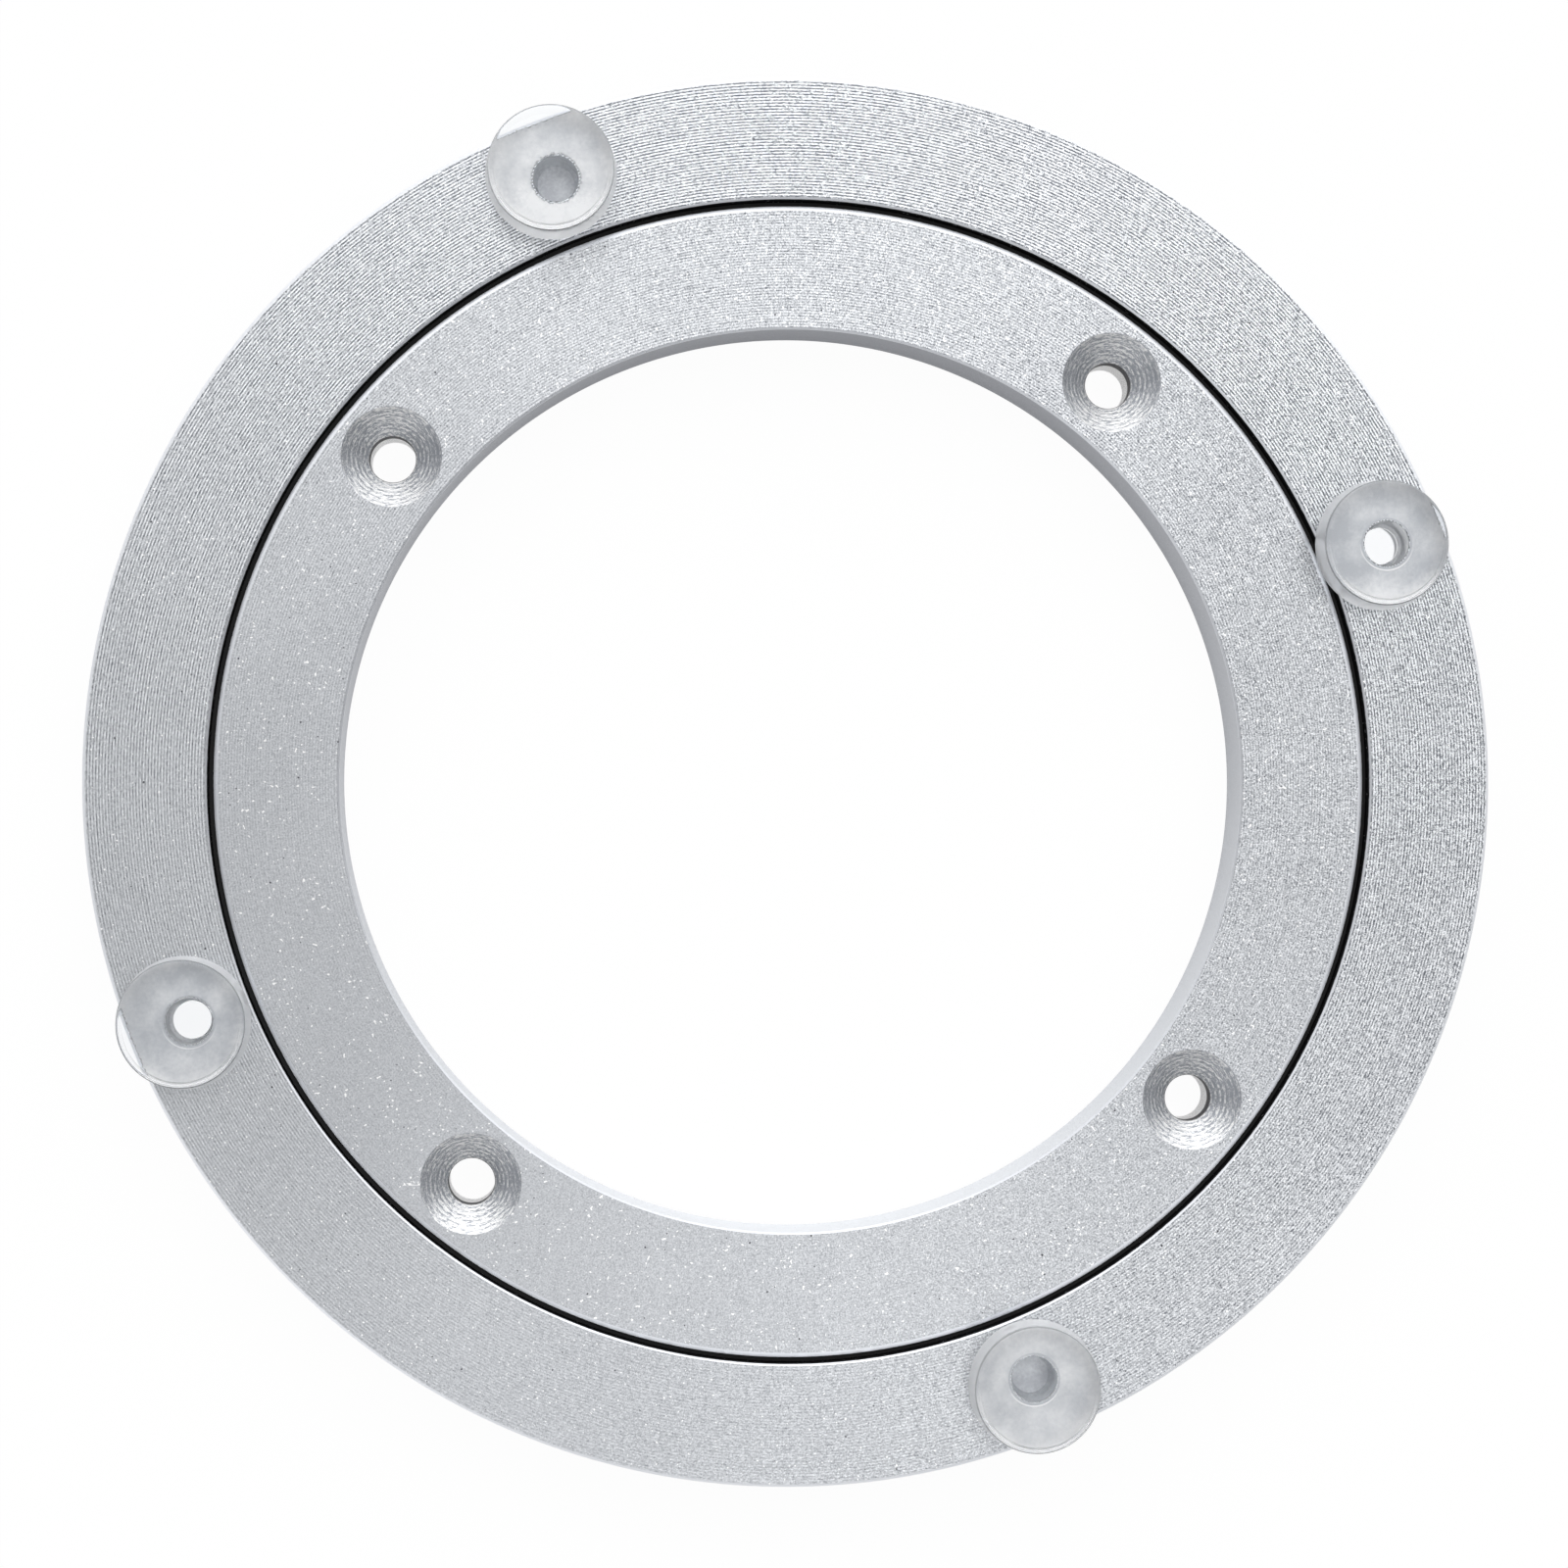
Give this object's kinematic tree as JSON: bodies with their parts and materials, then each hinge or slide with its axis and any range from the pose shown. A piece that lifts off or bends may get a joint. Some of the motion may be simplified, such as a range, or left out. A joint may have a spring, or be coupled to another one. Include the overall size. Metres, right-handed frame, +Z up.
{
  "type": "lazy susan bearing",
  "caption": "Flat turned aluminium turntable bearing: two rings that turn on a ring of caged balls, with countersunk screw holes, clear bumper pads and an open centre.",
  "frame": {"origin": "centre of the inner ring's underside, on the axis that the rings turn about", "axes": "+Z up along the axis, towards the countersinks and pads; +X and +Y each lie midway between two screw holes"},
  "size_m": [0.14, 0.14, 0.012],
  "materials": {
    "ring_aluminium": "fine turned and clear anodised, concentric tool lines",
    "cage_nylon": "black moulded",
    "ball_steel": "polished steel",
    "plug_steel": "plain steel",
    "pad_clear": "clear, slightly milky soft polymer"
  },
  "bodies": {
    "fixed_ring": {"inner_ring": "ring_aluminium"},
    "turning_ring": {"outer_ring": "ring_aluminium", "loading_plug": "plug_steel", "bumper_pad_1": "pad_clear", "bumper_pad_2": "pad_clear", "bumper_pad_3": "pad_clear", "bumper_pad_4": "pad_clear"},
    "cage": {"ball_cage": "cage_nylon"},
    "ball_01": {"ball_01": "ball_steel"},
    "ball_02": {"ball_02": "ball_steel"},
    "ball_03": {"ball_03": "ball_steel"},
    "ball_04": {"ball_04": "ball_steel"},
    "ball_05": {"ball_05": "ball_steel"},
    "ball_06": {"ball_06": "ball_steel"},
    "ball_07": {"ball_07": "ball_steel"},
    "ball_08": {"ball_08": "ball_steel"},
    "ball_09": {"ball_09": "ball_steel"},
    "ball_10": {"ball_10": "ball_steel"},
    "ball_11": {"ball_11": "ball_steel"},
    "ball_12": {"ball_12": "ball_steel"},
    "ball_13": {"ball_13": "ball_steel"},
    "ball_14": {"ball_14": "ball_steel"},
    "ball_15": {"ball_15": "ball_steel"},
    "ball_16": {"ball_16": "ball_steel"},
    "ball_17": {"ball_17": "ball_steel"},
    "ball_18": {"ball_18": "ball_steel"},
    "ball_19": {"ball_19": "ball_steel"},
    "ball_20": {"ball_20": "ball_steel"},
    "ball_21": {"ball_21": "ball_steel"},
    "ball_22": {"ball_22": "ball_steel"},
    "ball_23": {"ball_23": "ball_steel"},
    "ball_24": {"ball_24": "ball_steel"},
    "ball_25": {"ball_25": "ball_steel"},
    "ball_26": {"ball_26": "ball_steel"},
    "ball_27": {"ball_27": "ball_steel"},
    "ball_28": {"ball_28": "ball_steel"},
    "ball_29": {"ball_29": "ball_steel"},
    "ball_30": {"ball_30": "ball_steel"},
    "ball_31": {"ball_31": "ball_steel"},
    "ball_32": {"ball_32": "ball_steel"},
    "ball_33": {"ball_33": "ball_steel"},
    "ball_34": {"ball_34": "ball_steel"},
    "ball_35": {"ball_35": "ball_steel"},
    "ball_36": {"ball_36": "ball_steel"}
  },
  "joints": [
    {"name": "ring_turn", "type": "hinge", "parent": "fixed_ring", "child": "turning_ring", "pos_m": [0, 0, 0.00425], "axis": [0, 0, 1], "continuous": true},
    {"name": "cage_turn", "type": "hinge", "parent": "fixed_ring", "child": "cage", "pos_m": [0, 0, 0.00425], "axis": [0, 0, 1], "continuous": true},
    {"name": "ball_01_roll", "type": "hinge", "parent": "cage", "child": "ball_01", "pos_m": [0.0576, 0, 0.00425], "axis": [0, 0, 1], "continuous": true},
    {"name": "ball_02_roll", "type": "hinge", "parent": "cage", "child": "ball_02", "pos_m": [0.05672, 0.01, 0.00425], "axis": [0, 0, 1], "continuous": true},
    {"name": "ball_03_roll", "type": "hinge", "parent": "cage", "child": "ball_03", "pos_m": [0.05413, 0.0197, 0.00425], "axis": [0, 0, 1], "continuous": true},
    {"name": "ball_04_roll", "type": "hinge", "parent": "cage", "child": "ball_04", "pos_m": [0.04988, 0.0288, 0.00425], "axis": [0, 0, 1], "continuous": true},
    {"name": "ball_05_roll", "type": "hinge", "parent": "cage", "child": "ball_05", "pos_m": [0.04412, 0.03702, 0.00425], "axis": [0, 0, 1], "continuous": true},
    {"name": "ball_06_roll", "type": "hinge", "parent": "cage", "child": "ball_06", "pos_m": [0.03702, 0.04412, 0.00425], "axis": [0, 0, 1], "continuous": true},
    {"name": "ball_07_roll", "type": "hinge", "parent": "cage", "child": "ball_07", "pos_m": [0.0288, 0.04988, 0.00425], "axis": [0, 0, 1], "continuous": true},
    {"name": "ball_08_roll", "type": "hinge", "parent": "cage", "child": "ball_08", "pos_m": [0.0197, 0.05413, 0.00425], "axis": [0, 0, 1], "continuous": true},
    {"name": "ball_09_roll", "type": "hinge", "parent": "cage", "child": "ball_09", "pos_m": [0.01, 0.05672, 0.00425], "axis": [0, 0, 1], "continuous": true},
    {"name": "ball_10_roll", "type": "hinge", "parent": "cage", "child": "ball_10", "pos_m": [0, 0.0576, 0.00425], "axis": [0, 0, 1], "continuous": true},
    {"name": "ball_11_roll", "type": "hinge", "parent": "cage", "child": "ball_11", "pos_m": [-0.01, 0.05672, 0.00425], "axis": [0, 0, 1], "continuous": true},
    {"name": "ball_12_roll", "type": "hinge", "parent": "cage", "child": "ball_12", "pos_m": [-0.0197, 0.05413, 0.00425], "axis": [0, 0, 1], "continuous": true},
    {"name": "ball_13_roll", "type": "hinge", "parent": "cage", "child": "ball_13", "pos_m": [-0.0288, 0.04988, 0.00425], "axis": [0, 0, 1], "continuous": true},
    {"name": "ball_14_roll", "type": "hinge", "parent": "cage", "child": "ball_14", "pos_m": [-0.03702, 0.04412, 0.00425], "axis": [0, 0, 1], "continuous": true},
    {"name": "ball_15_roll", "type": "hinge", "parent": "cage", "child": "ball_15", "pos_m": [-0.04412, 0.03702, 0.00425], "axis": [0, 0, 1], "continuous": true},
    {"name": "ball_16_roll", "type": "hinge", "parent": "cage", "child": "ball_16", "pos_m": [-0.04988, 0.0288, 0.00425], "axis": [0, 0, 1], "continuous": true},
    {"name": "ball_17_roll", "type": "hinge", "parent": "cage", "child": "ball_17", "pos_m": [-0.05413, 0.0197, 0.00425], "axis": [0, 0, 1], "continuous": true},
    {"name": "ball_18_roll", "type": "hinge", "parent": "cage", "child": "ball_18", "pos_m": [-0.05672, 0.01, 0.00425], "axis": [0, 0, 1], "continuous": true},
    {"name": "ball_19_roll", "type": "hinge", "parent": "cage", "child": "ball_19", "pos_m": [-0.0576, 0, 0.00425], "axis": [0, 0, 1], "continuous": true},
    {"name": "ball_20_roll", "type": "hinge", "parent": "cage", "child": "ball_20", "pos_m": [-0.05672, -0.01, 0.00425], "axis": [0, 0, 1], "continuous": true},
    {"name": "ball_21_roll", "type": "hinge", "parent": "cage", "child": "ball_21", "pos_m": [-0.05413, -0.0197, 0.00425], "axis": [0, 0, 1], "continuous": true},
    {"name": "ball_22_roll", "type": "hinge", "parent": "cage", "child": "ball_22", "pos_m": [-0.04988, -0.0288, 0.00425], "axis": [0, 0, 1], "continuous": true},
    {"name": "ball_23_roll", "type": "hinge", "parent": "cage", "child": "ball_23", "pos_m": [-0.04412, -0.03702, 0.00425], "axis": [0, 0, 1], "continuous": true},
    {"name": "ball_24_roll", "type": "hinge", "parent": "cage", "child": "ball_24", "pos_m": [-0.03702, -0.04412, 0.00425], "axis": [0, 0, 1], "continuous": true},
    {"name": "ball_25_roll", "type": "hinge", "parent": "cage", "child": "ball_25", "pos_m": [-0.0288, -0.04988, 0.00425], "axis": [0, 0, 1], "continuous": true},
    {"name": "ball_26_roll", "type": "hinge", "parent": "cage", "child": "ball_26", "pos_m": [-0.0197, -0.05413, 0.00425], "axis": [0, 0, 1], "continuous": true},
    {"name": "ball_27_roll", "type": "hinge", "parent": "cage", "child": "ball_27", "pos_m": [-0.01, -0.05672, 0.00425], "axis": [0, 0, 1], "continuous": true},
    {"name": "ball_28_roll", "type": "hinge", "parent": "cage", "child": "ball_28", "pos_m": [0, -0.0576, 0.00425], "axis": [0, 0, 1], "continuous": true},
    {"name": "ball_29_roll", "type": "hinge", "parent": "cage", "child": "ball_29", "pos_m": [0.01, -0.05672, 0.00425], "axis": [0, 0, 1], "continuous": true},
    {"name": "ball_30_roll", "type": "hinge", "parent": "cage", "child": "ball_30", "pos_m": [0.0197, -0.05413, 0.00425], "axis": [0, 0, 1], "continuous": true},
    {"name": "ball_31_roll", "type": "hinge", "parent": "cage", "child": "ball_31", "pos_m": [0.0288, -0.04988, 0.00425], "axis": [0, 0, 1], "continuous": true},
    {"name": "ball_32_roll", "type": "hinge", "parent": "cage", "child": "ball_32", "pos_m": [0.03702, -0.04412, 0.00425], "axis": [0, 0, 1], "continuous": true},
    {"name": "ball_33_roll", "type": "hinge", "parent": "cage", "child": "ball_33", "pos_m": [0.04412, -0.03702, 0.00425], "axis": [0, 0, 1], "continuous": true},
    {"name": "ball_34_roll", "type": "hinge", "parent": "cage", "child": "ball_34", "pos_m": [0.04988, -0.0288, 0.00425], "axis": [0, 0, 1], "continuous": true},
    {"name": "ball_35_roll", "type": "hinge", "parent": "cage", "child": "ball_35", "pos_m": [0.05413, -0.0197, 0.00425], "axis": [0, 0, 1], "continuous": true},
    {"name": "ball_36_roll", "type": "hinge", "parent": "cage", "child": "ball_36", "pos_m": [0.05672, -0.01, 0.00425], "axis": [0, 0, 1], "continuous": true}
  ],
  "couplings": [
    {"joint": "cage_turn", "follows": "ring_turn", "ratio": 0.51736},
    {"joint": "ball_01_roll", "follows": "ring_turn", "ratio": 14.383},
    {"joint": "ball_02_roll", "follows": "ring_turn", "ratio": 14.383},
    {"joint": "ball_03_roll", "follows": "ring_turn", "ratio": 14.383},
    {"joint": "ball_04_roll", "follows": "ring_turn", "ratio": 14.383},
    {"joint": "ball_05_roll", "follows": "ring_turn", "ratio": 14.383},
    {"joint": "ball_06_roll", "follows": "ring_turn", "ratio": 14.383},
    {"joint": "ball_07_roll", "follows": "ring_turn", "ratio": 14.383},
    {"joint": "ball_08_roll", "follows": "ring_turn", "ratio": 14.383},
    {"joint": "ball_09_roll", "follows": "ring_turn", "ratio": 14.383},
    {"joint": "ball_10_roll", "follows": "ring_turn", "ratio": 14.383},
    {"joint": "ball_11_roll", "follows": "ring_turn", "ratio": 14.383},
    {"joint": "ball_12_roll", "follows": "ring_turn", "ratio": 14.383},
    {"joint": "ball_13_roll", "follows": "ring_turn", "ratio": 14.383},
    {"joint": "ball_14_roll", "follows": "ring_turn", "ratio": 14.383},
    {"joint": "ball_15_roll", "follows": "ring_turn", "ratio": 14.383},
    {"joint": "ball_16_roll", "follows": "ring_turn", "ratio": 14.383},
    {"joint": "ball_17_roll", "follows": "ring_turn", "ratio": 14.383},
    {"joint": "ball_18_roll", "follows": "ring_turn", "ratio": 14.383},
    {"joint": "ball_19_roll", "follows": "ring_turn", "ratio": 14.383},
    {"joint": "ball_20_roll", "follows": "ring_turn", "ratio": 14.383},
    {"joint": "ball_21_roll", "follows": "ring_turn", "ratio": 14.383},
    {"joint": "ball_22_roll", "follows": "ring_turn", "ratio": 14.383},
    {"joint": "ball_23_roll", "follows": "ring_turn", "ratio": 14.383},
    {"joint": "ball_24_roll", "follows": "ring_turn", "ratio": 14.383},
    {"joint": "ball_25_roll", "follows": "ring_turn", "ratio": 14.383},
    {"joint": "ball_26_roll", "follows": "ring_turn", "ratio": 14.383},
    {"joint": "ball_27_roll", "follows": "ring_turn", "ratio": 14.383},
    {"joint": "ball_28_roll", "follows": "ring_turn", "ratio": 14.383},
    {"joint": "ball_29_roll", "follows": "ring_turn", "ratio": 14.383},
    {"joint": "ball_30_roll", "follows": "ring_turn", "ratio": 14.383},
    {"joint": "ball_31_roll", "follows": "ring_turn", "ratio": 14.383},
    {"joint": "ball_32_roll", "follows": "ring_turn", "ratio": 14.383},
    {"joint": "ball_33_roll", "follows": "ring_turn", "ratio": 14.383},
    {"joint": "ball_34_roll", "follows": "ring_turn", "ratio": 14.383},
    {"joint": "ball_35_roll", "follows": "ring_turn", "ratio": 14.383},
    {"joint": "ball_36_roll", "follows": "ring_turn", "ratio": 14.383}
  ]
}
